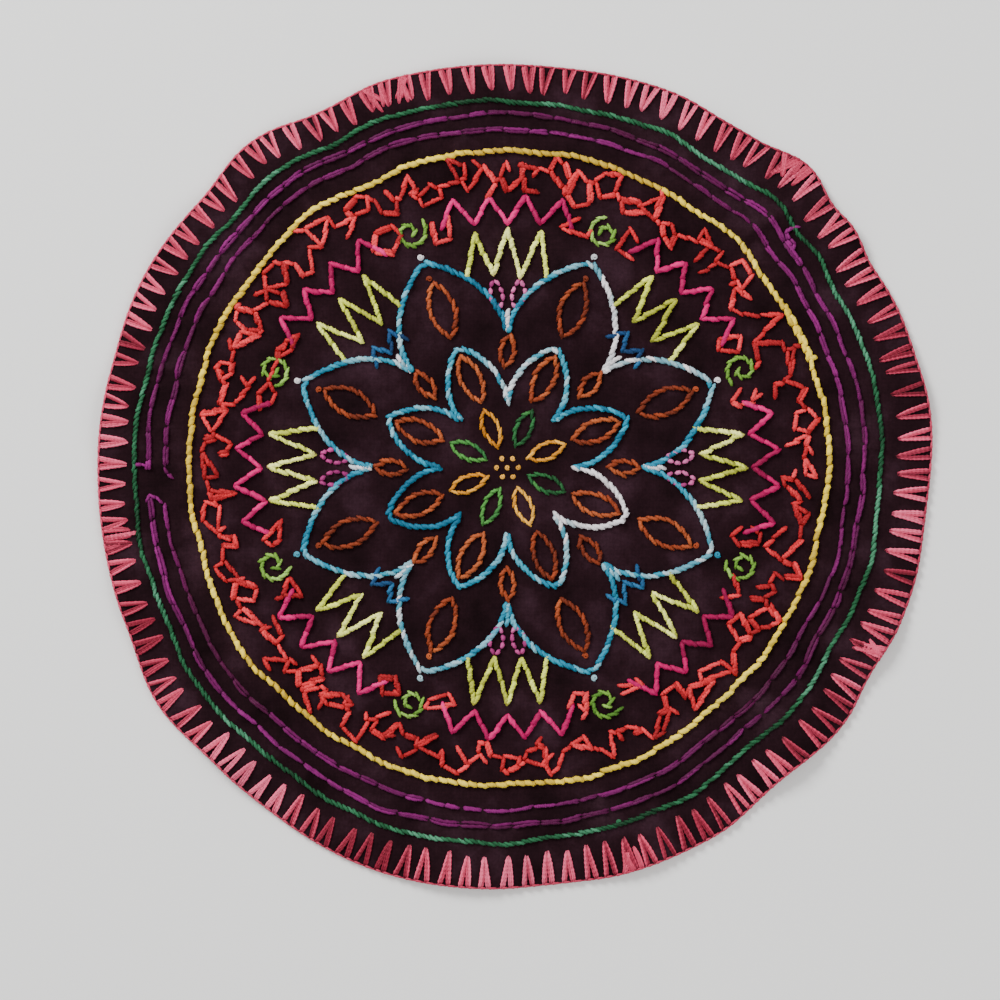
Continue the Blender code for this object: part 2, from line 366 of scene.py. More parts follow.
camera = placed("camera", bpy.data.cameras.new("camera"))
camera.data.sensor_width = SENSOR_WIDTH
camera.data.lens = SENSOR_WIDTH * CAMERA_HEIGHT / SEEN_ACROSS
camera.location = (CAMERA_X, CAMERA_Y, CAMERA_HEIGHT)
scene.camera = camera

for name, spot, size, watts in LAMPS:
    light = bpy.data.lights.new(name, "AREA")
    light.size, light.energy = size, watts
    lit = placed(name, light)
    lit.location = spot
    lit.rotation_mode = "QUATERNION"
    lit.rotation_quaternion = (-Vector(lit.location)).to_track_quat("-Z", "Y")

scene.world = bpy.data.worlds.new("soft_room")
scene.world.use_nodes = True
fill(scene.world.node_tree.nodes["Background"], Color=SKY_COLOUR, Strength=SKY_STRENGTH)

floor_mesh = bpy.data.meshes.new("floor")
floor_corners = [(x * FLOOR_HALF, y * FLOOR_HALF, 0.0) for x, y in ((-1, -1), (1, -1), (1, 1), (-1, 1))]
floor_mesh.from_pydata(floor_corners, [], [(0, 1, 2, 3)])
floor_paint, *_ = new_finish("pale_floor", Base_Color=FLOOR_COLOUR, Roughness=FLOOR_ROUGHNESS)
floor_mesh.materials.append(floor_paint)
placed("floor", floor_mesh)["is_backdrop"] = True
print("lens, mm:", round(camera.data.lens, 1))

# %% [markdown]
# ## Thread that is dyed and spun
#
# Hand-dyed thread changes slowly along its length. Each point of a stitch therefore carries `dye`, the metres
# of thread used up to there, and a one-dimensional noise turns it into a shade. Each stitch also carries a
# tone of its own, partly at random and partly painted light and shade. Each stitch lies at its own angle to
# the light, and the strand inside a pair of the edging lies in shade, so the tone makes the colour lighter or
# darker and moves it along the dye's shades. `fibre` gives a place inside the spun thread itself: along it,
# and across it in the turning frame of its twist. Noise stretched along it draws fibres that follow the
# twist.

# %% Thread finish
FIBRE_STRETCH = (700.0, 5200.0, 5200.0)
FIBRE_BUMP, FIBRE_RELIEF = 0.45, 0.25 * MM
# TONE_LIGHT and TONE_SHIFT paint light and shade: each stitch's tone makes its colour lighter or darker and
# moves it along the dye's shades.
LEAST_LIGHT, TONE_LIGHT, FIBRE_LIGHT = 0.50, 0.34, 0.70
TONE_SHIFT = 0.22
FIRST_SHADE, LAST_SHADE = 0.30, 0.70


def thread_finish(name, shades, repeat):
    """Spun cotton thread in the shades of one dye, which return after this many metres, with painted light
    and shade from each stitch's tone.
    """
    material, nodes, shader = new_finish(
        name + "_thread", Roughness=0.55, Sheen_Weight=0.03, Specular_IOR_Level=0.18
    )
    change = nodes.new("ShaderNodeTexNoise")
    change.noise_dimensions = "1D"
    fill(change, Scale=1.0 / repeat, Detail=1.0, W=nodes.fact("dye"))
    shade_and_tone = nodes.fact("shade_and_tone")
    shift = nodes.calc("MULTIPLY_ADD", shade_and_tone, TONE_SHIFT, -0.5 * TONE_SHIFT)
    shifted = nodes.calc("ADD", change.outputs["Fac"], shift)
    codes = shades.split()
    shade = nodes.ramp(shifted, list(zip(np.linspace(FIRST_SHADE, LAST_SHADE, len(codes)), codes)))

    place = nodes.vector("MULTIPLY", nodes.fact("fibre", "Vector"), FIBRE_STRETCH)
    fibres = nodes.add("ShaderNodeTexNoise", place, 1.0, 2.0)
    # Painted light and shade: the stitch's tone lightens or darkens its colour, and the fibres add grain.
    light = nodes.calc("MULTIPLY_ADD", shade_and_tone, TONE_LIGHT, LEAST_LIGHT)
    light = nodes.calc("MULTIPLY_ADD", fibres, FIBRE_LIGHT, light)
    relief = nodes.bumped(fibres, FIBRE_BUMP, FIBRE_RELIEF)
    fill(shader, Base_Color=nodes.vector("SCALE", shade, light), Normal=relief)
    return material


DYES = {
    "pink": ("82182f a42c46 c63e5b da4e6e e66282", 0.7),
    "green": ("0a371d 15502f 256340 468464", 0.09),
    "purple": ("4a0234 5f044a 7a1464", 0.22),
    "yellow": ("d2ae34 efce3c f8de50", 0.12),
    "turquoise": ("126684 1884a4 2c98b2 8cb8c4 e4dee2", 0.34),
    "orange": ("702810 943c1c ae562c", 0.14),
    "red": ("a41820 ce262e ec4048", 0.12),
    "magenta": ("900042 bc025c e02078", 0.16),
    "lime": ("b0b43a e2ec58 fcff94", 0.13),
    "leaf_green": ("174a24 266634 4a8c3c", 0.10),
    "spring_green": ("4c7c26 74a43a 98c25c", 0.08),
    "rose": ("8c2464 b84084 d66ca4", 0.10),
    "blue": ("0a2648 123e6c 246490", 0.12),
    "gold": ("a86410 d4881c ecae44", 0.12),
}
THREADS = {name: thread_finish(name, *dye) for name, dye in DYES.items()}
print("threads:", ", ".join(sorted(THREADS)))

# %% [markdown]
# ## Stitches by Geometry Nodes
#
# A stitch is a short run of twisted thread that comes up out of the cloth, lies on it, and goes down again.
# Drawn as a pattern on the cloth, it would look flat from the side. Here Python says only where each stitch
# runs, as a chain of points, and a Geometry Nodes tree spins a real thread along every chain:
#
# 1. Mesh to Curve makes each chain a curve.
# 2. Set Position lofts its middle off the cloth and sinks its ends into it.
# 3. Set Curve Tilt turns the profile as the thread runs, which is its twist.
# 4. Curve to Mesh sweeps a two-lobed profile, the section of two plies, along the curve.
# 5. Lone points become knots: a small coil of thread is set on each.

# %% The embroidery tree
PROFILE_SIDES, KNOT_SIDES = 8, 6
KNOT_STEPS, KNOT_TURNS, KNOT_THREAD = 11, 1.6, 0.14
KNOT_FOOT, KNOT_CROWN, KNOT_HEIGHT = 0.36, 0.09, 0.30
END_SHARPNESS, END_TAPER = 7.0, 0.25
TONE_TURNS = 3.0
TREE_INPUTS = (
    ("Geometry", "Geometry", None),
    ("Twist length", "Float", 3.0 * MM),
    ("Waist", "Float", 0.80),
    ("Slack", "Float", 0.3 * MM),
    ("Unevenness", "Float", 0.10),
    ("Knot width", "Float", 2.4 * MM),
    ("Seed", "Int", 1),
    ("Thread", "Material", None),
)


def named(nodes, name, kind="FLOAT"):
    return nodes.geo("InputNamedAttribute", name, data_type=kind)


def stored(nodes, geometry, name, value):
    return nodes.geo("StoreNamedAttribute", geometry, None, name, value, data_type="FLOAT_VECTOR")


def chance(nodes, least, most, seed):
    return nodes.add("FunctionNodeRandomValue", least, most, None, seed, data_type="FLOAT")


def ply_profile(nodes, sides, waist):
    """The section of a two-ply thread: a circle that is drawn in at its waist."""
    calc = nodes.calc
    circle = nodes.geo("CurvePrimitiveCircle", sides, 1.0)
    place = nodes.geo("InputPosition")
    _, y, _ = nodes.parts(place)
    drawn_in = calc("MULTIPLY", calc("MULTIPLY", y, y), calc("SUBTRACT", 1.0, waist))
    section = nodes.vector("SCALE", place, calc("SUBTRACT", 1.0, drawn_in))
    return stored(nodes, nodes.geo("SetPosition", circle, None, section), "across", place)


def fibre_place(nodes, mesh, along, half_width):
    """Stores each point's place inside the thread: along it, and across it."""
    x, y, _ = nodes.parts(nodes.vector("SCALE", named(nodes, "across", "FLOAT_VECTOR"), half_width))
    return stored(nodes, mesh, "fibre", nodes.xyz(along, x, y))


def embroidery_tree():
    """Spins a thread along every chain of points, and coils a knot on every lone one."""
    tree = bpy.data.node_groups.new("embroidery", "GeometryNodeTree")
    for label, kind, value in TREE_INPUTS:
        socket = tree.interface.new_socket(label, in_out="INPUT", socket_type="NodeSocket" + kind)
        if value is not None:
            socket.default_value = value
    tree.interface.new_socket("Geometry", in_out="OUTPUT", socket_type="NodeSocketGeometry")
    given = tree.nodes.new("NodeGroupInput").outputs
    nodes = Nodes(tree)
    geo, calc = nodes.geo, nodes.calc
    facts = ("half_width", "shade_and_tone", "along", "loft", "dip")
    half_width, shade_and_tone, along, loft, dip = [named(nodes, fact) for fact in facts]

    chains = geo("SetCurveNormal", geo("MeshToCurve", given["Geometry"]), mode="Z_UP")
    from_middle = calc("ABSOLUTE", calc("MULTIPLY_ADD", geo("SplineParameter"), 2.0, -1.0))
    near_end = calc("POWER", from_middle, END_SHARPNESS)
    drop = calc("MULTIPLY", calc("ADD", loft, dip), near_end)
    rise = calc("MULTIPLY", calc("SUBTRACT", loft, drop), half_width)
    sideways = nodes.vector("CROSS_PRODUCT", geo("InputTangent"), (0.0, 0.0, 1.0))
    belly = calc("SUBTRACT", 1.0, calc("MULTIPLY", from_middle, from_middle))
    bow = calc("MULTIPLY", calc("SUBTRACT", shade_and_tone, 0.5), given["Slack"])
    bowed = nodes.vector("SCALE", sideways, calc("MULTIPLY", bow, belly))
    offset = nodes.vector("ADD", nodes.xyz(0.0, 0.0, rise), bowed)
    chains = geo("SetPosition", chains, None, None, offset)
    turns = calc("DIVIDE", along, given["Twist length"])
    turns = calc("ADD", turns, calc("MULTIPLY", shade_and_tone, TONE_TURNS))
    chains = geo("SetCurveTilt", chains, None, calc("MULTIPLY", turns, FULL_TURN))

    uneven = calc("MULTIPLY", chance(nodes, -1.0, 1.0, given["Seed"]), given["Unevenness"])
    taper = calc("SUBTRACT", 1.0, calc("MULTIPLY", near_end, END_TAPER))
    width = calc("MULTIPLY", half_width, calc("MULTIPLY", calc("ADD", 1.0, uneven), taper))
    profile = ply_profile(nodes, PROFILE_SIDES, given["Waist"])
    spun = fibre_place(nodes, geo("CurveToMesh", chains, profile, width, True), along, half_width)

    coil = geo("CurveSpiral", KNOT_STEPS, KNOT_TURNS, KNOT_FOOT, KNOT_CROWN, KNOT_HEIGHT)
    profile = ply_profile(nodes, KNOT_SIDES, given["Waist"])
    knot = fibre_place(nodes, geo("CurveToMesh", coil, profile, KNOT_THREAD, True), 0.0, 0.5 * MM)
    spots = geo("MeshToPoints", given["Geometry"], calc("GREATER_THAN", named(nodes, "knot"), 0.5))
    turn = nodes.xyz(0.0, 0.0, chance(nodes, 0.0, FULL_TURN, given["Seed"]))
    facing = nodes.add("FunctionNodeEulerToRotation", turn)
    size = nodes.xyz(*[given["Knot width"]] * 3)
    knots = geo("InstanceOnPoints", spots, None, knot, None, None, facing, size)

    both = tree.nodes.new("GeometryNodeJoinGeometry")
    for part in (knots, spun):
        feed(both.inputs[0], part)
    smooth = geo("SetShadeSmooth", geo("RealizeInstances", both.outputs[0]))
    finished = geo("SetMaterial", smooth, None, given["Thread"])
    feed(tree.nodes.new("NodeGroupOutput").inputs[0], finished)
    return tree


EMBROIDERY = embroidery_tree()
print("nodes in the embroidery tree:", len(EMBROIDERY.nodes))

# %% [markdown]
# ## Where the stitches go
#
# `Needlework` gathers all that is worked in one thread. Its methods are the stitches that a needleworker
# would name. Stem stitch overlaps itself and slants, which makes a rope. Back stitch meets end to end. Long
# doubled stitches lie in pairs. Each also leaves thread on the reverse, so the back of the rug isn't bare.

# %% Needlework
CLOTH_THICKNESS = 0.6 * MM
STEP = 0.9 * MM
FEWEST_STEPS, MOST_STEPS = 4, 10
REVERSE_WIDTH_SHARE = 0.55
REVERSE_CLEARANCE = 1.95
PARTING_SWAY = 26.0 * MM
LOFT, DIP = 0.80, 0.45
FACE, REVERSE = 1.0, 0.0
HOLE_SLIP = 0.14 * MM
LEAST_STEM, LEAST_BACK, MOST_WIDTH = 0.9, 0.93, 1.05
PIECES, WORKS = [], []


class Path:
    """A line on the cloth that can be walked by length."""

    def __init__(self, points, closed=False):
        points = np.asarray(points, float)
        if closed:
            points = np.vstack([points, points[:1]])
        self.points = points
        self.marks = np.concatenate([[0.0], np.cumsum(np.linalg.norm(np.diff(points, axis=0), axis=1))])
        self.length = float(self.marks[-1])
        self.closed = closed

    def at(self, distance):
        """The plan point at a distance along the line."""
        if self.closed:
            distance = distance % self.length
        return np.array([np.interp(distance, self.marks, self.points[:, axis]) for axis in (0, 1)])

    def left(self, distance):
        """The direction to the left of the line."""
        ahead = self.at(min(distance + 0.5 * MM, self.length)) - self.at(max(distance - 0.5 * MM, 0.0))
        ahead = ahead / max(np.linalg.norm(ahead), 1e-9)
        return np.array((-ahead[1], ahead[0]))


class Needlework:
    """Every stitch and knot worked in one thread. Its width, twist and lengths come in millimetres."""

    def __init__(self, piece, thread, width, seed, twist=3.0):
        self.piece, self.thread, self.width = piece, thread, width * MM
        self.seed, self.twist = seed, twist * MM
        self.rng = random.Random(seed)
        self.plan, self.levels, self.links = [], [], []
        self.facts = {fact: [] for fact in ("along", "dye", "shade_and_tone", "half_width", "loft", "dip", "knot")}
        self.used = self.rng.uniform(0.0, 10.0)
        self.spent, self.stitches = 0.0, 0

    def add(self, points, levels, width, loft, dip, knot=0.0, shade_and_tone=None):
        """One chain of points with the facts that the tree reads."""
        first = len(self.plan)
        shade_and_tone = self.rng.random() if shade_and_tone is None else shade_and_tone
        gone = 0.0
        for i, (point, level) in enumerate(zip(points, levels)):
            if i:
                gone += float(np.linalg.norm(point - points[i - 1]))
                self.links.append((first + i - 1, first + i))
            self.plan.append(point)
            self.levels.append(level)
            facts = (gone, self.used + gone, shade_and_tone, 0.5 * width, loft, dip, knot)
            for values, value in zip(self.facts.values(), facts):
                values.append(value)
        self.used += gone
        self.spent += gone
        self.stitches += 1

    def stitch(self, start, end, width=None, level=FACE, end_level=None, steps=None, shade_and_tone=None):
        """One straight stitch between two needle holes."""
        start, end = np.asarray(start, float), np.asarray(end, float)
        end_level = level if end_level is None else end_level
        length = float(np.linalg.norm(end - start))
        steps = steps or int(min(MOST_STEPS, max(FEWEST_STEPS, round(length / STEP))))
        shares = np.linspace(0.0, 1.0, steps + 1)
        points = [start + (end - start) * share for share in shares]
        self.lay(points, [level + (end_level - level) * share for share in shares], width, shade_and_tone)

    def lay(self, points, levels, width, shade_and_tone):
        """A stitch lofts off the side of the cloth that it lies on, and dips into it at both ends."""
        sign = 1.0 if levels[0] > 0.5 else -1.0
        self.add(points, levels, width or self.width, LOFT * sign, DIP * sign, shade_and_tone=shade_and_tone)

    def reverse(self, start, end):
        """What the same thread leaves on the reverse, between two holes."""
        self.stitch(start, end, REVERSE_WIDTH_SHARE * self.width, REVERSE)

    def hole(self, path, distance, sideways=0.0):
        """A needle hole on a line, as exact as a hand makes it."""
        slip = np.array([self.rng.gauss(0.0, HOLE_SLIP) for _ in range(2)])
        return path.at(distance) + sideways * path.left(distance) + slip

    def stem(self, path, advance, overlap, slant=0.28):
        """Stem stitch: each stitch starts beside the last one's middle, and slants across the line."""
        advance, overlap = advance * MM, overlap * MM
        count = max(1, round(path.length / advance))
        pitch = path.length / count
        slip = slant * self.width
        for i in range(count):
            begin = i * pitch - 0.5 * overlap
            finish = (i + 1) * pitch + 0.5 * overlap
            if not path.closed:
                begin, finish = max(begin, 0.0), min(finish, path.length)
            start = self.hole(path, begin, slip)
            end = self.hole(path, finish, -slip)
            self.stitch(start, end, self.width * self.rng.uniform(LEAST_STEM, MOST_WIDTH))
            self.reverse(end, self.hole(path, min((i + 1) * pitch, path.length)))

    def back(self, path, length, gap=0.0):
        """Back stitch: stitches that meet end to end."""
        length, gap = length * MM, gap * MM
        count = max(1, round(path.length / (length + gap)))
        pitch = path.length / count
        for i in range(count):
            begin, finish = i * pitch + 0.5 * gap, (i + 1) * pitch - 0.5 * gap
            end = self.hole(path, finish)
            start = self.hole(path, begin)
            self.stitch(start, end, self.width * self.rng.uniform(LEAST_BACK, MOST_WIDTH))
            self.reverse(end, self.hole(path, min(finish + gap + 0.35 * length, path.length)))

    def doubled(self, path, *sizes):
        """Long stitches of a thread used double. Its strands lie side by side and never end together."""
        shortest, longest, gap, parting = [size * MM for size in sizes]
        begin, sway = 0.0, self.rng.uniform(0.0, FULL_TURN)
        while begin < path.length - 0.5 * shortest:
            finish = min(begin + self.rng.uniform(shortest, longest), path.length)
            middle = 0.5 * (begin + finish)
            part = parting * (1.0 + 0.55 * math.sin(middle / PARTING_SWAY + sway))
            for side in (-1.0, 1.0):
                start = self.hole(path, begin + self.rng.uniform(0.0, 1.2) * MM, side * part)
                end = self.hole(path, finish - self.rng.uniform(-0.5, 0.7) * MM, side * part)
                self.bent(start, self.hole(path, middle, side * part), end)
            self.reverse(self.hole(path, finish), self.hole(path, finish + gap))
            begin = finish + self.rng.uniform(-0.6 * MM, gap)

    def bent(self, start, knee, end, width=None, steps=MOST_STEPS, shade_and_tone=None):
        """A long stitch that bows through a middle point."""
        shares = np.linspace(0.0, 1.0, steps + 1)
        middle = 2.0 * knee - 0.5 * (start + end)
        points = [(1 - t) ** 2 * start + 2 * t * (1 - t) * middle + t * t * end for t in shares]
        self.lay(points, [FACE] * len(points), width, shade_and_tone)

    def knot_at(self, point):
        """A small knot where a thread starts or ends."""
        self.add([np.asarray(point, float)], [FACE], self.width, 0.0, 0.0, 1.0)

    def make(self, slot=None, *replaces, slack=0.3 * MM):
        plan, levels = np.array(self.plan), np.array(self.levels)
        lowest = np.array(self.facts["half_width"]) * np.where(levels < 0.5, REVERSE_CLEARANCE, 0.0)
        height = np.maximum(cloth_top(plan) - CLOTH_THICKNESS * (1.0 - levels), lowest)
        mesh = bpy.data.meshes.new(self.piece)
        mesh.from_pydata(np.column_stack([plan, height]).tolist(), self.links, [])
        for fact, values in self.facts.items():
            mesh.attributes.new(fact, "FLOAT", "POINT").data.foreach_set("value", values)
        piece = placed(self.piece, mesh)
        modifier = piece.modifiers.new("embroidery", "NODES")
        modifier.node_group = EMBROIDERY
        values = {"Twist length": self.twist, "Slack": slack, "Knot width": 1.5 * self.width}
        values.update({"Seed": self.seed, "Thread": THREADS[self.thread]})
        for item in EMBROIDERY.interface.items_tree:
            if item.name in values:
                modifier[item.identifier] = values[item.name]
        depsgraph = bpy.context.evaluated_depsgraph_get()
        spun = bpy.data.meshes.new_from_object(
            piece.evaluated_get(depsgraph), preserve_all_data_layers=True, depsgraph=depsgraph
        )
        piece.modifiers.remove(modifier)
        piece.data = spun
        spun.name = self.piece
        bpy.data.meshes.remove(mesh)
        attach(piece, "root")
        if replaces:
            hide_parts(*replaces)
        PIECES.append(piece)
        WORKS.append(self)
        faces = sum(len(p.vertices) - 2 for p in spun.polygons)
        print(f"{self.piece}: {self.stitches} stitches, {faces} triangles, {self.spent:.1f} m of thread")


# %% [markdown]
# ## The edging
#
# Closed blanket stitch: two long stitches lean together over the cloth, and the thread runs along the cut
# edge from one stitch to the next, which keeps it from fraying. The table of pairs is the one that the solid
# was made from, so its seed and the order of its draws are the same. The pairs stand a little wider here than
# the solid's strips. Each stitch is three strands side by side, and some pairs are fuller than others.
# On the real rug, a few places are worked over twice, where a thread ended and the next began.

# %% Edging
PAIR_COUNT = 123
PAIR_PITCH = 360.0 / PAIR_COUNT
EDGING_SEED = 7
BEARING_VARIATION = 0.10
LEAN_VARIATION = 0.14
SPREAD_LEAST, SPREAD_MOST = 0.16, 0.25
TIP_SHARE_OF_ROOM = 0.7
TIP_VARIATION = 0.8 * MM
STRANDS = 3
STRAND_WIDTH = 1.1
WIDER_STANCE = 1.1
PARTED_AT_RIM, PARTED_AT_TIP = 0.54 * MM, 0.20 * MM
TIPS_APART = 0.27 * MM
LEANEST_PAIR, FULLEST_PAIR = 0.76, 1.16
# INNER_SHADE is painted shade: it darkens and reddens the strand that lies inside each pair.
INNER_SHADE = 0.34
RED_PAIRS = 0.16
LEG_STEPS, SHORT_STEPS = 8, 5
LEG_BEND, LEG_BOW = 0.2 * MM, 0.16 * MM
LEAST_STRAND, MOST_STRAND = 0.88, 1.1
SHADE_VARIATION = 0.2
ROOT_INWARD, RIM_INWARD = 0.5 * MM, 0.5 * MM
RIM_WIDTH = 1.0 * MM
# RIM_TONE sets the thread along the rim darker and redder than most.
RIM_TONE = 0.3
WORKED_TWICE = (46.5, 49.0, 106.3, 110.0, 189.0, 287.1, 334.0)
EXTRA_STITCHES = 4
TAIL_BEARING = 189.0
LONGEST_TAIL = (-136.3 * MM, -19.9 * MM)

Pair = namedtuple("Pair", "bearing spread depth lean")


def stitch_pairs():
    """Where each pair of long stitches stands."""
    rng = random.Random(EDGING_SEED)
    for i in range(PAIR_COUNT):
        bearing = (i + rng.uniform(-BEARING_VARIATION, BEARING_VARIATION)) * PAIR_PITCH
        spread = rng.uniform(SPREAD_LEAST, SPREAD_MOST) * PAIR_PITCH
        lean = rng.uniform(-LEAN_VARIATION, LEAN_VARIATION) * PAIR_PITCH
        room = float(edge_radius(bearing) - ring_radius(GREEN, bearing))
        depth = TIP_SHARE_OF_ROOM * room + rng.uniform(-TIP_VARIATION, TIP_VARIATION)
        yield Pair(bearing, spread, depth, lean)


def long_stitch(work, root, tip, leg=0.0, shade_and_tone=0.6, fullness=1.0):
    """Three strands that part at the rim and close up at the tip. The one inside its pair gets painted shade,
    darker and redder.
    """
    ahead = (tip - root) / np.linalg.norm(tip - root)
    across = np.array((-ahead[1], ahead[0]))
    bend = work.rng.uniform(-LEG_BEND, LEG_BEND)
    for strand in range(STRANDS):
        side = strand - 0.5 * (STRANDS - 1)
        start = root + side * fullness * PARTED_AT_RIM * across
        end = tip + side * fullness * PARTED_AT_TIP * across + work.rng.uniform(-0.1, 0.6) * MM * ahead
        knee = 0.5 * (start + end) + (bend + LEG_BOW * side) * across
        width = work.width * math.sqrt(fullness) * work.rng.uniform(LEAST_STRAND, MOST_STRAND)
        # Painted shade on the inner strand, with a random tone on every strand.
        shade = shade_and_tone - INNER_SHADE * leg * side + work.rng.uniform(-SHADE_VARIATION, SHADE_VARIATION)
        work.bent(start, knee, end, width, steps=LEG_STEPS, shade_and_tone=shade)


edging = Needlework("edging_thread", "pink", STRAND_WIDTH, EDGING_SEED, twist=4.2)
roots = []
for pair in stitch_pairs():
    tip = rim_point(pair.bearing + pair.lean, pair.depth)
    shade_and_tone = 0.0 if edging.rng.random() < RED_PAIRS else edging.rng.uniform(0.45, 0.75)
    fullness = edging.rng.uniform(LEANEST_PAIR, FULLEST_PAIR)
    for side in (-1.0, 1.0):
        bearing = pair.bearing + side * WIDER_STANCE * pair.spread
        roots.append(bearing)
        root = rim_point(bearing, ROOT_INWARD)
        hole = tip + TIPS_APART * side * polar(1.0, pair.bearing + 90.0)
        long_stitch(edging, root, hole, side, shade_and_tone, fullness)
        edging.stitch(tip, rim_point(bearing, 1.2 * MM), 0.75 * edging.width, REVERSE, steps=SHORT_STEPS)
for bearing in WORKED_TWICE:
    for _ in range(EXTRA_STITCHES):
        root = rim_point(bearing + edging.rng.uniform(-1.5, 1.5), ROOT_INWARD)
        depth = edging.rng.uniform(6.0, 10.5) * MM
        long_stitch(edging, root, rim_point(bearing + edging.rng.uniform(-1.1, 1.1), depth))
long_stitch(edging, rim_point(TAIL_BEARING, ROOT_INWARD), np.array(LONGEST_TAIL))
for here, beyond in zip(roots, roots[1:] + [roots[0] + 360.0]):
    for part in range(2):
        begin = rim_point(here + (beyond - here) * part / 2.0, RIM_INWARD)
        finish = rim_point(here + (beyond - here) * (part + 1.15) / 2.0, RIM_INWARD)
        levels = (0.9 - 0.4 * part, 0.5 + 0.4 * part)
        edging.stitch(begin, finish, RIM_WIDTH, *levels, steps=SHORT_STEPS, shade_and_tone=RIM_TONE)
edging.make("edging_pink", "edging", slack=0.15 * MM)

# %% [markdown]
# ## The border rings
#
# From the outside in: a thin green rope of stem stitch, two purple lines of long doubled stitches, and a
# yellow line whose stitches overlap a little. The rings were drawn by eye, so each is a little off
# centre, and each wanders by a millimetre. The purple thread was started and stopped on the left, where its
# ends still show.

# %% Border rings
RING_STEPS = 720
RING_WAVES = (5, 9, 14, 23, 37)


def ring_line(ring, seed, wander, first=0.0, last=360.0):
    """A border ring's line on the cloth, or the part of it from one bearing on to another."""
    rng = np.random.default_rng(seed)
    count = round((last - first) * RING_STEPS / 360.0)
    bearings = np.linspace(first, last, count, endpoint=last - first < 360.0)
    sway = sum(np.sin(np.radians(bearings) * n + rng.uniform(0.0, FULL_TURN)) for n in RING_WAVES)
    radii = ring_radius(ring, bearings) + wander * MM * sway / math.sqrt(len(RING_WAVES))
    return Path(HOOP_CENTRE + polar(radii, bearings), closed=last - first >= 360.0)


def as_line(*places):
    """A line through places given in millimetres."""
    return Path([np.array(place) * MM for place in places])


# %% Green ring
green = Needlework("green_ring", "green", 1.5, 11, twist=3.4)
green.stem(ring_line(GREEN, 21, 0.45), 2.1, 1.3, 0.34)
green.knot_at(HOOP_CENTRE + polar(131.0 * MM, 287.0))
green.make("thread_green", "ring_green")

# %% Purple rings
LONG_STITCHES = (6.5, 11.5, 0.35)

outer = Needlework("purple_ring_outer", "purple", 1.45, 31, twist=5.0)
outer.doubled(ring_line(PURPLE_OUTER, 31, 0.45, 183.4, 539.4), *LONG_STITCHES, 0.35)
outer.back(as_line((-132.4, 3.6), (-134.4, 4.6), (-136.9, 4.3)), 2.6)
outer.back(as_line((-132.7, -8.9), (-131.9, -6.2), (-129.6, -6.9), (-127.3, -9.4)), 3.0)
for shift in (-0.5, 0.5):
    squiggle = ((101.9, 90.2), (97.6, 89.2), (97.7, 86.2), (100.6, 84.3), (99.3, 81.4), (103.2, 76.6))
    outer.back(as_line(*[(x + shift, y + 0.5 * shift) for x, y in squiggle]), 3.0)
outer.make("thread_purple", "ring_purple_outer")

inner = Needlework("purple_ring_inner", "purple", 1.4, 33, twist=5.0)
inner.doubled(ring_line(PURPLE_INNER, 33, 0.45, 184.6, 538.6), *LONG_STITCHES, 0.28)
inner.back(as_line((-126.4, 3.4), (-125.2, 0.6), (-123.4, -0.3)), 2.6)
inner.knot_at(np.array((-124.4, 0.4)) * MM)
inner.make("thread_purple", "ring_purple_inner")

# %% Yellow ring
yellow = Needlework("yellow_ring", "yellow", 2.2, 41, twist=4.4)
yellow.stem(ring_line(YELLOW, 25, 0.5), 3.5, 0.5, 0.18)
overlap = ring_line(YELLOW, 25, 0.5, 21.4, 32.0)
yellow.back(Path(overlap.points + polar(0.8 * MM, 26.0)), 4.2)
yellow.stitch(overlap.at(0.0), overlap.at(0.0) + np.array((2.6, 0.3)) * MM)
yellow.make("thread_yellow", "ring_yellow")

# %% [markdown]
# ## The flower field
#
# The field holds ordinary motifs, repeated eight times round its middle: petals, leaves, zigzags and curls.
# Each is drawn once, and then turned. Every copy gets its own small errors of the hand.

# %% Motifs
FOLDS = 8
PETAL_TIP_RADIUS, PETAL_NOTCH_RADIUS = 80.0, 48.0
PETAL_FULLNESS = 0.62
PETAL_STEPS, LEAF_STEPS = 40, 14
FIELD_CENTRE = HOOP_CENTRE + np.array((YELLOW.x, YELLOW.y))


def in_field(radius, bearing):
    """A plan point by radius, in millimetres, and bearing from the field's middle."""
    return FIELD_CENTRE + polar(radius * MM, bearing)


def leaf(middle, bearing, length, width):
    """The two sides of a leaf that points along a bearing, each as its own line."""
    ahead = polar(1.0, bearing)
    across = np.array((-ahead[1], ahead[0]))
    shares = np.linspace(0.0, 1.0, LEAF_STEPS)[:, None]
    belly = 0.5 * width * MM * np.sin(np.pi * shares).clip(0.0) ** 0.8
    spine = middle + (shares - 0.5) * length * MM * ahead
    return [Path(spine + side * belly * across) for side in (-1.0, 1.0)]


def straight_lines(points):
    """Each stretch between two corners as its own line."""
    return [Path([a, b]) for a, b in zip(points, points[1:])]


def zigzag(inner, outer, middle, reach, teeth, rng, shake=0.7):
    """The lines of a zigzag between two radii, as far as it reaches on both sides of a bearing."""
    points = []
    for i in range(2 * teeth + 1):
        radius = (outer if i % 2 else inner) + rng.uniform(-shake, shake)
        points.append(in_field(radius, middle - reach + 2.0 * reach * i / (2 * teeth)))
    return straight_lines(points)


def petals(notch_radius, tip_radius):
    """A flower's outline, as one closed line."""
    points = []
    for i in range(FOLDS * PETAL_STEPS):
        along = (i % PETAL_STEPS) / PETAL_STEPS
        swell = (1.0 - abs(2.0 * along - 1.0)) ** PETAL_FULLNESS
        radius = notch_radius + (tip_radius - notch_radius) * swell
        points.append(in_field(radius, i * 360.0 / (FOLDS * PETAL_STEPS)))
    return Path(points, closed=True)


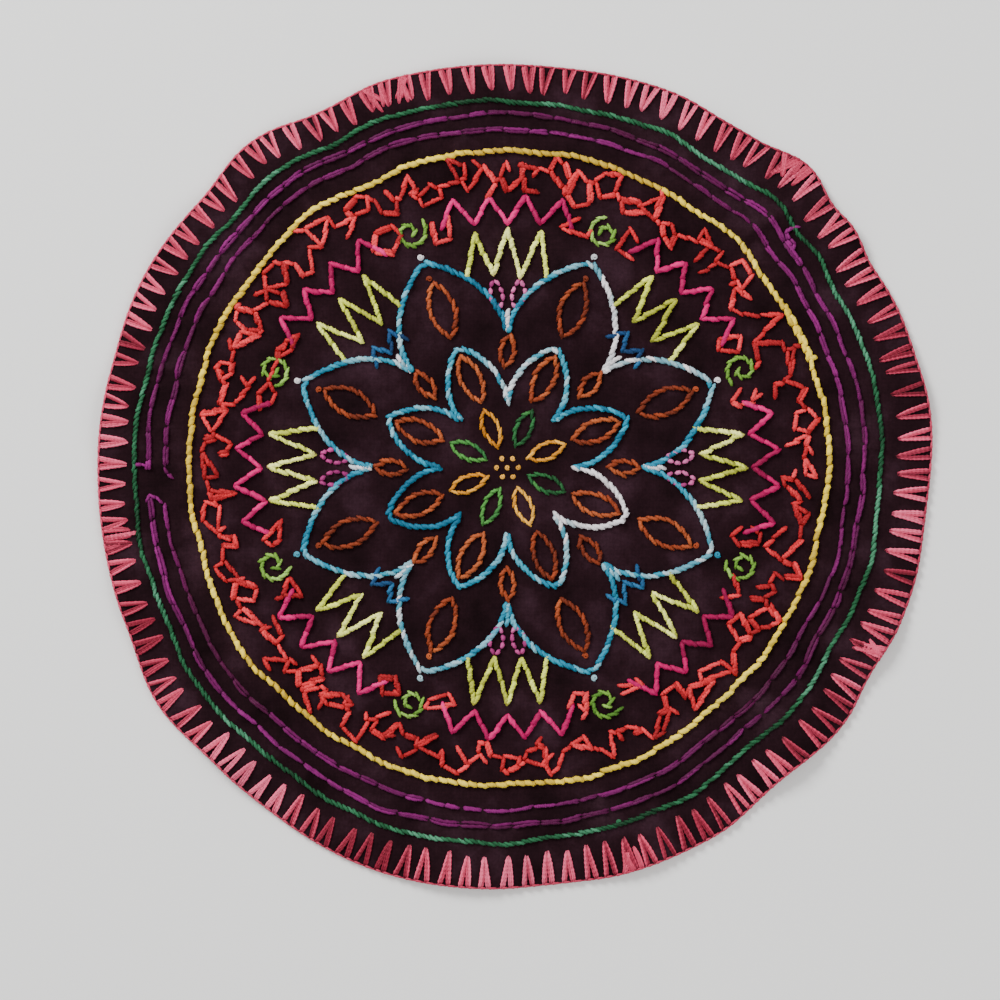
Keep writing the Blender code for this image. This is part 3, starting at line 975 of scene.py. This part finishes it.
# %% Turquoise petals
turquoise = Needlework("turquoise_petals", "turquoise", 1.9, 51, twist=3.4)
turquoise.stem(petals(PETAL_NOTCH_RADIUS, PETAL_TIP_RADIUS), 2.6, 1.5)
turquoise.stem(petals(23.0, 47.0), 2.6, 1.5)
for i in range(FOLDS):
    notch = 45.0 * i
    turquoise.stem(Path([in_field(49.0, notch), in_field(57.0, notch)]), 2.6, 1.2)
    turquoise.knot_at(in_field(82.0, notch + 22.5))
turquoise.make("thread_turquoise", "flower_outline")

# %% Orange leaves
orange = Needlework("orange_leaves", "orange", 1.8, 61)
for i in range(FOLDS):
    notch, tip = 45.0 * i, 45.0 * i + 22.5
    tilt = orange.rng.uniform(-4.0, 4.0)
    for middle, bearing, length, width in (
        (in_field(61.5, tip), tip + tilt, 21.0, 9.4),
        (in_field(34.5, tip), tip - tilt, 18.5, 7.6),
        (in_field(42.0, notch), notch + 2.0 * tilt, 12.0, 5.4),
    ):
        for side in leaf(middle, bearing, length, width):
            orange.stem(side, 3.4, 1.2)
    orange.knot_at(in_field(73.5, tip))
orange.make()

# %% Leaves in the middle
gold = Needlework("gold_leaves", "gold", 1.5, 63)
leaf_green = Needlework("green_leaves", "leaf_green", 1.5, 65)
for i in range(FOLDS):
    work = leaf_green if i % 2 else gold
    tip = 45.0 * i + 22.5
    for side in leaf(in_field(15.2, tip), tip, 14.5, 6.0):
        work.stem(side, 3.0, 1.2)
for i in range(6):
    gold.knot_at(in_field(3.8, 60.0 * i))
gold.knot_at(in_field(0.0, 0.0))

# %% Zigzags, rose leaves and curls
lime = Needlework("lime_zigzag", "lime", 2.1, 71)
magenta = Needlework("magenta_zigzag", "magenta", 2.2, 73, twist=6.0)
blue = Needlework("blue_zigzag", "blue", 1.9, 75)
rose = Needlework("rose_leaves", "rose", 1.7, 77)
curls = Needlework("green_curls", "spring_green", 1.6, 79)
for i in range(FOLDS):
    notch, tip = 45.0 * i, 45.0 * i + 22.5
    for line in zigzag(69.0, 86.0, notch, 12.0, 3, lime.rng):
        lime.stem(line, 4.0, 0.8, 0.14)
    for line in zigzag(88.5, 98.0, notch, 15.5, 4, magenta.rng):
        magenta.stem(line, 6.5, 0.8, 0.08)
    if i % 2:
        for line in zigzag(58.5, 65.0, notch, 7.5, 2, blue.rng, 0.4):
            blue.stem(line, 3.2, 1.2)
    else:
        for turned in (-1.0, 1.0):
            place = in_field(62.5, notch + 3.6 * turned)
            for side in leaf(place, notch + 10.0 * turned, 10.5, 4.8):
                rose.back(side, 2.2, 1.0)
    begin, sense = curls.rng.uniform(0.0, 360.0), -1.0 if i % 2 else 1.0
    shares = np.linspace(0.0, 1.0, 36)
    curl = [in_field(91.5, tip) + polar((1.8 + 4.4 * t) * MM, begin + sense * 470.0 * t) for t in shares]
    curls.stem(Path(curl), 3.0, 1.2)
for work in (gold, leaf_green, lime, magenta, blue, rose, curls):
    work.make()

# %% [markdown]
# ## The red coral
#
# Between the zigzags and the yellow ring, the ground is filled with red cells, each worked by eye: a few
# short straight lines that nearly close, joined to the next cell by a line, with a spur here and there.
# The corners are drawn by chance, from a fixed seed.

# %% Red coral
CORAL_INSIDE, CORAL_MARGIN = 99.0, 2.4
CELL_COUNT = 72
CELL_LEAST, CELL_MOST = 3.4, 7.0
NARROWEST_CELL = 0.45
OPEN_CELLS = 0.5
WORKED_OVER = 0.4
LINK_REACH = 9.5 * MM
SPURS = 0.6

red = Needlework("red_coral", "red", 1.9, 81)


def coral_outside(bearing):
    """How far out the coral may reach: just short of the yellow ring, from the field's middle."""
    ring_point = HOOP_CENTRE + polar(ring_radius(YELLOW, bearing), bearing)
    return float(np.linalg.norm(ring_point - FIELD_CENTRE)) / MM - CORAL_MARGIN


def cell_corners(middle, rng):
    """The corners of one cell, in order. Most cells are longer one way than the other."""
    count = rng.choice((3, 4, 4, 5, 5))
    turn, squeezed = rng.uniform(0.0, 360.0), polar(1.0, rng.uniform(0.0, 360.0))
    squeeze = 1.0 - rng.uniform(NARROWEST_CELL, 1.0)
    corners = []
    for k in range(count):
        bearing = turn + (k + rng.uniform(-0.32, 0.32)) * 360.0 / count
        reach = polar(rng.uniform(CELL_LEAST, CELL_MOST) * MM, bearing)
        corners.append(middle + reach - squeeze * (reach @ squeezed) * squeezed)
    return corners


def coral_middles(rng):
    """Where the cells stand: two loose rows under the yellow ring, and one cell beside each curl."""
    middles = []
    for i in range(CELL_COUNT):
        bearing = (i + rng.uniform(-0.2, 0.2)) * 360.0 / CELL_COUNT
        low, high = CORAL_INSIDE + CELL_LEAST, coral_outside(bearing) - CELL_LEAST
        share = rng.uniform(0.0, 0.35) if i % 2 else rng.uniform(0.65, 1.0)
        middles.append(in_field(low + (high - low) * share, bearing))
    for i in range(FOLDS):
        for side in (-1.0, 1.0):
            bearing = 45.0 * i + 22.5 + side * rng.uniform(5.8, 6.6)
            middles.append(in_field(rng.uniform(88.0, 93.0), bearing))
    return middles


cells = [cell_corners(middle, red.rng) for middle in coral_middles(red.rng)]
for corners in cells:
    lines = straight_lines(corners + corners[:1])
    if red.rng.random() < OPEN_CELLS:
        lines = lines[:-1]
    for line in lines:
        red.stem(line, 4.2, 1.8, 0.2)
        if red.rng.random() < WORKED_OVER:
            beside = red.rng.uniform(-0.9, 0.9) * MM * line.left(0.0)
            red.stem(Path(line.points + beside), 4.2, 1.4, 0.2)
    if red.rng.random() < SPURS:
        start = red.rng.choice(corners)
        reach = polar(red.rng.uniform(2.4, 4.2) * MM, red.rng.uniform(0.0, 360.0))
        red.stem(Path([start, start + reach]), 4.2, 0.8)
for here, beyond in zip(cells, cells[1:]):
    gaps = [(float(np.linalg.norm(a - b)), k, m) for k, a in enumerate(here) for m, b in enumerate(beyond)]
    gap, k, m = min(gaps)
    if 1.0 * MM < gap < LINK_REACH:
        red.stem(Path([here[k], beyond[m]]), 4.2, 0.8, 0.2)
red.make()
print("cells:", len(cells), "thread in all, m:", round(sum(work.spent for work in WORKS), 1))

# %% [markdown]
# ## The cloth
#
# The cloth is one thin closed sheet. A grid of triangles is cut out by the outline, raised to the height of
# the cloth's face, and doubled for its reverse. It lies 1 mm above the floor, on the threads of its reverse.

# %% Cloth sheet
GRID_SPACING = 1.6 * MM
EDGE_SPACING = 1.3 * MM
CLOTH_INWARD = 0.75 * MM
GRID_BEYOND = 8.0 * MM
SAME_POINT = 0.0001 * MM
FILL_INSIDE = 1

edge_count = round(FULL_TURN * EDGE_RADIUS / EDGE_SPACING)
edge_bearings = np.arange(edge_count) * 360.0 / edge_count
edge = HOOP_CENTRE + polar(edge_radius(edge_bearings) - CLOTH_INWARD, edge_bearings)
row_spacing = GRID_SPACING * math.sqrt(3.0) / 2.0
reach = EDGE_RADIUS + GRID_BEYOND
rows = int(2.0 * reach / row_spacing)
grid = []
for row in range(rows):
    y = (row - 0.5 * rows) * row_spacing
    shift = 0.5 * GRID_SPACING * (row % 2)
    xs = np.arange(-reach, reach, GRID_SPACING) + shift
    grid.append(np.column_stack([xs, np.full(len(xs), y)]))
grid = np.vstack(grid)
_, inward = from_edge(grid)
grid = grid[inward - CLOTH_INWARD > 0.6 * GRID_SPACING]
points = np.vstack([edge, grid])
loop = [(i, (i + 1) % edge_count) for i in range(edge_count)]
found, _, triangles, *_ = delaunay_2d_cdt(points.tolist(), loop, [], FILL_INSIDE, SAME_POINT)
found = np.array([tuple(p) for p in found])
triangles = np.array(triangles)
corner = found[triangles]
turning = np.cross(corner[:, 1] - corner[:, 0], corner[:, 2] - corner[:, 0])
triangles[turning < 0] = triangles[turning < 0][:, ::-1]
top = cloth_top(found)
count = len(found)
face_side = np.column_stack([found, top])
reverse_side = np.column_stack([found, np.maximum(top - CLOTH_THICKNESS, 0.0)])
walls = []
for here, beyond in loop:
    walls += [(beyond, here, count + here), (beyond, count + here, count + beyond)]
faces = triangles.tolist() + (triangles[:, ::-1] + count).tolist() + walls
cloth_mesh = bpy.data.meshes.new("cloth")
cloth_mesh.from_pydata(np.vstack([face_side, reverse_side]).tolist(), [], faces)
cloth_mesh.shade_smooth()
cloth_mesh.set_sharp_from_angle(angle=math.radians(50.0))
cloth = placed("cloth", cloth_mesh)
print("cloth triangles:", len(faces), "kept points:", count)

# %% [markdown]
# ## The cloth's finish
#
# The cloth is a plain weave, near black with a little maroon. Two waves at right angles give its threads, and
# they only show close up. What shows from a step away is that the cloth isn't one colour: large soft patches
# paint it lighter and greyer in places, partly mottle and partly painted sheen where the nap would catch
# light.
# The shader's sheen adds a little real nap, and too much of it would turn the black grey. Object coordinates
# are used, because the sheet lies nearly flat.

# %% Cloth finish
WEAVE_PITCH = 0.5 * MM
WAVE_SCALE = FULL_TURN / 20.0
# Colours of large soft patches: partly mottle of the cloth, partly painted sheen.
MOTTLE_AND_SHEEN_SHADES = [(0.32, "14070a"), (0.52, "221016"), (0.74, "38222c")]
WEAVE_GRAIN, SLUB_GRAIN, LEAST_GRAIN = 0.5, 0.8, 0.35

weave, nodes, shader = new_finish(
    "dark_cotton",
    Roughness=0.95,
    Specular_IOR_Level=0.06,
    Sheen_Weight=0.04,
    Sheen_Roughness=0.6,
    Sheen_Tint=dyed("8d7686"),
)
place = nodes.new("ShaderNodeTexCoord").outputs["Object"]
# Noise patches of painted sheen and mottle in the base colour.
mottle_and_sheen = nodes.ramp(nodes.add("ShaderNodeTexNoise", place, 42.0, 5.0, 0.6), MOTTLE_AND_SHEEN_SHADES)
threads = []
for axis in ("X", "Y"):
    wave = nodes.new("ShaderNodeTexWave")
    wave.bands_direction = axis
    fill(wave, Scale=WAVE_SCALE / WEAVE_PITCH, Distortion=0.8, Vector=place)
    threads.append(wave.outputs["Fac"])
woven = nodes.calc("MULTIPLY", *threads)
slub = nodes.add("ShaderNodeTexNoise", place, 900.0, 3.0, 0.7)
grain = nodes.calc("MULTIPLY_ADD", woven, WEAVE_GRAIN, nodes.calc("MULTIPLY", slub, SLUB_GRAIN))
lit_cloth = nodes.vector("SCALE", mottle_and_sheen, nodes.calc("ADD", grain, LEAST_GRAIN))
fill(shader, Base_Color=lit_cloth, Normal=nodes.bumped(grain, 0.5, 0.12 * MM))
cloth_mesh.materials.append(weave)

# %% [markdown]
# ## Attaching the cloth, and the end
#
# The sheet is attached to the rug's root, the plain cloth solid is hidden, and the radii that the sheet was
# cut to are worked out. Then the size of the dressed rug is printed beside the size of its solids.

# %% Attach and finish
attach(cloth, "root")
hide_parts("ground_cloth")
cut_radii = edge_radius(np.arange(0.0, 360.0, 0.5)) - CLOTH_INWARD
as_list(PIECES)
dressed_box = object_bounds()
boxes = {"solids": solid_box, "dressed": dressed_box}
{name: [list(corner) for corner in box] for name, box in boxes.items()}
print("solids:", [tuple(round(v / MM, 1) for v in c) for c in solid_box])
print("dressed:", [tuple(round(v / MM, 1) for v in c) for c in dressed_box])
